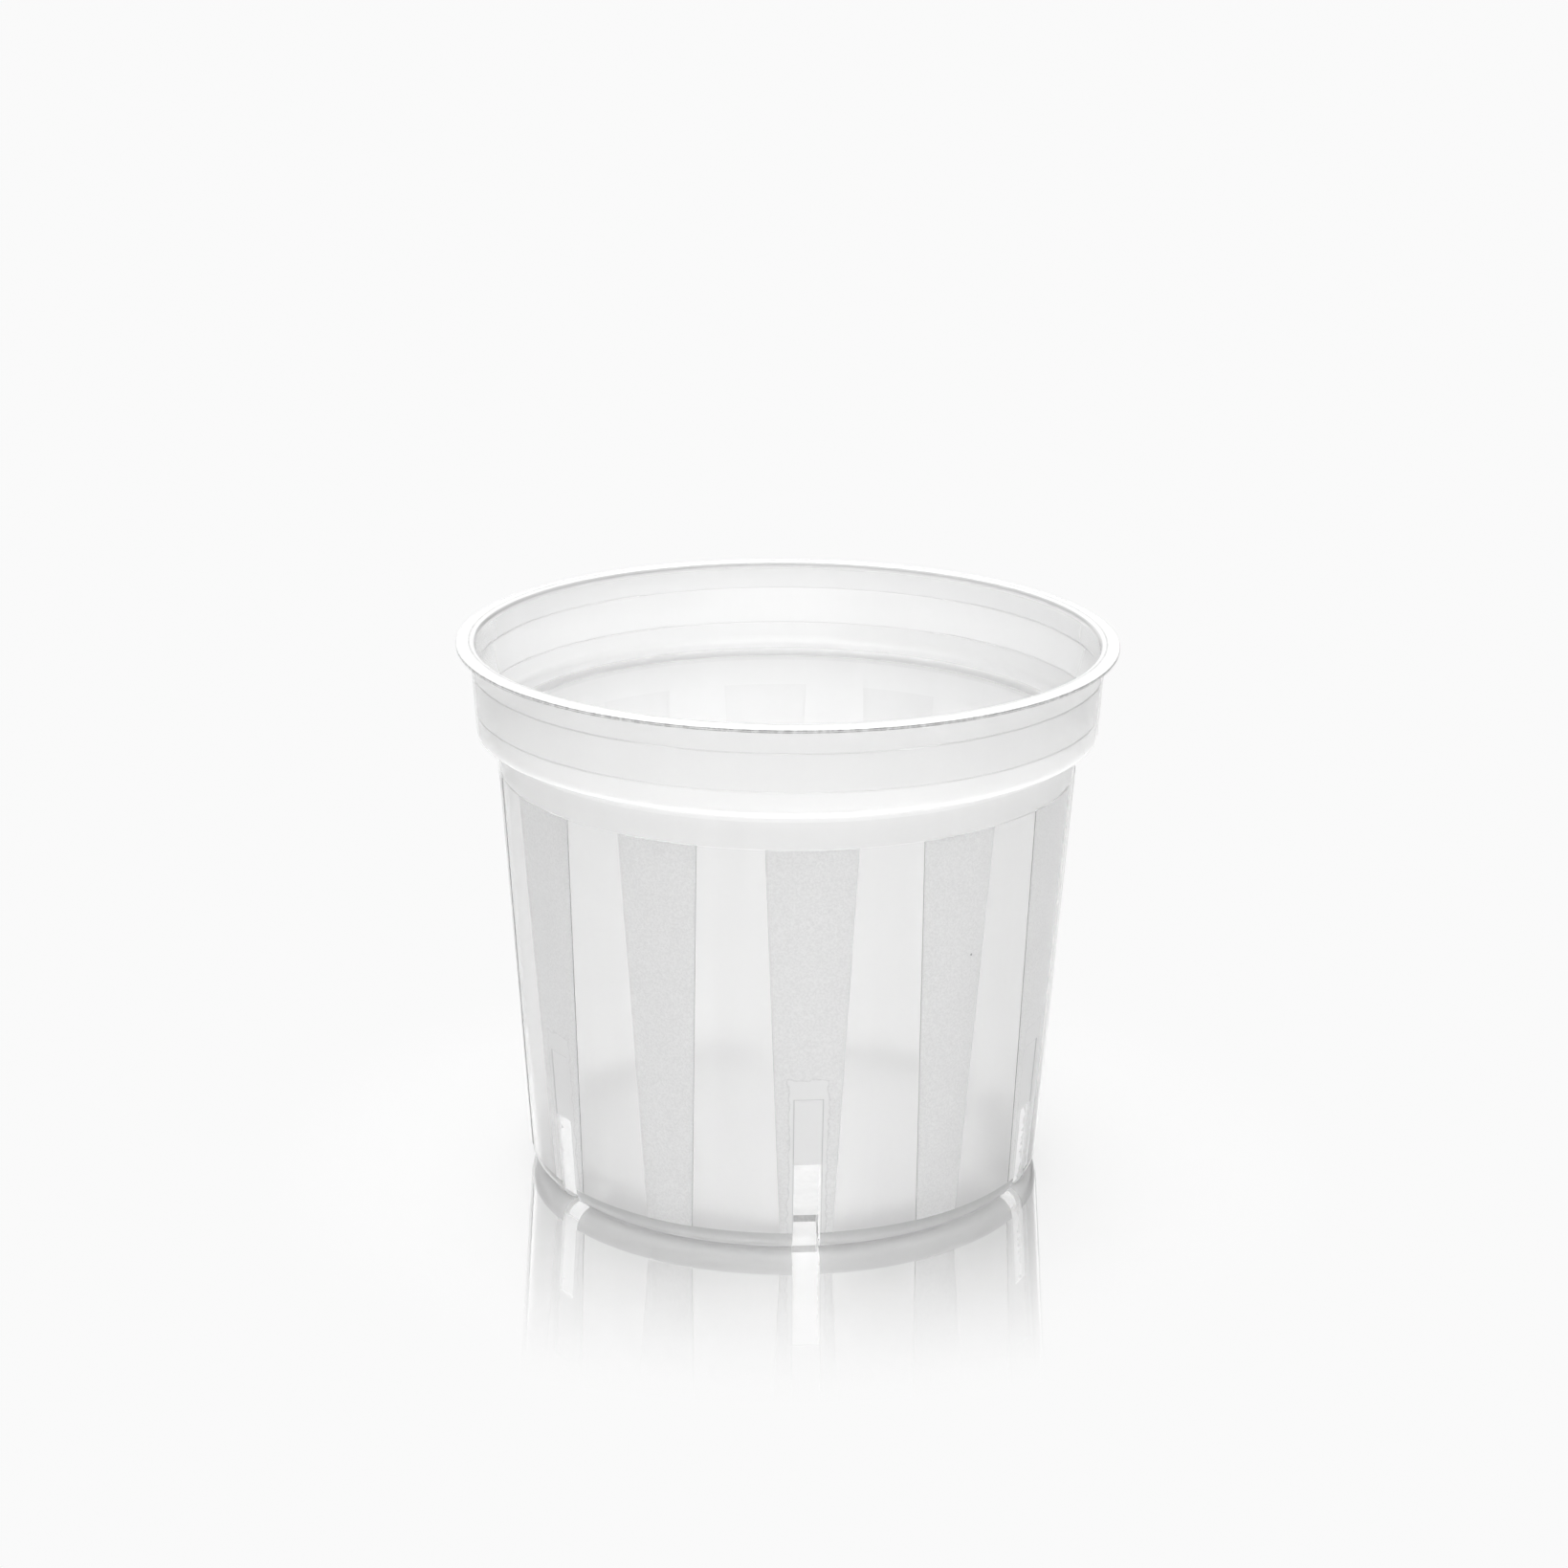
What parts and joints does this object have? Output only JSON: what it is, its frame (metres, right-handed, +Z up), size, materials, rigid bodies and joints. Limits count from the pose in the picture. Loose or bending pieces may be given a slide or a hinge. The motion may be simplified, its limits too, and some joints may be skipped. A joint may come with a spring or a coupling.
{
  "type": "orchid pot with slots",
  "caption": "Translucent tapered orchid pot with a tall lipped collar, striped clear and frosted wall panels, and drain slots that run down through its foot.",
  "frame": {"origin": "centre of the base on the table plane", "axes": "+Z up along the pot's axis, -Y through the middle of the first slot"},
  "size_m": [0.12, 0.12, 0.1005],
  "materials": {
    "natural_gloss": "smooth, as moulded, in milky translucent natural polypropylene",
    "natural_frosted": "fine spark-eroded texture in milky translucent natural polypropylene"
  },
  "bodies": {
    "root": {"rim_lip": "natural_gloss", "collar": "natural_gloss", "shoulder": "natural_gloss", "wall_band": "natural_gloss", "clear_panel_01": "natural_gloss", "clear_panel_02": "natural_gloss", "clear_panel_03": "natural_gloss", "clear_panel_04": "natural_gloss", "clear_panel_05": "natural_gloss", "clear_panel_06": "natural_gloss", "clear_panel_07": "natural_gloss", "clear_panel_08": "natural_gloss", "clear_panel_09": "natural_gloss", "clear_panel_10": "natural_gloss", "clear_panel_11": "natural_gloss", "clear_panel_12": "natural_gloss", "frosted_panel_01": "natural_frosted", "frosted_panel_02": "natural_frosted", "frosted_panel_03": "natural_frosted", "frosted_panel_04": "natural_frosted", "frosted_panel_05": "natural_frosted", "frosted_panel_06": "natural_frosted", "slotted_panel_01": "natural_frosted", "slotted_panel_02": "natural_frosted", "slotted_panel_03": "natural_frosted", "slotted_panel_04": "natural_frosted", "slotted_panel_05": "natural_frosted", "slotted_panel_06": "natural_frosted", "foot_segment_01": "natural_gloss", "foot_segment_02": "natural_gloss", "foot_segment_03": "natural_gloss", "foot_segment_04": "natural_gloss", "foot_segment_05": "natural_gloss", "foot_segment_06": "natural_gloss", "floor": "natural_gloss"}
  },
  "joints": []
}
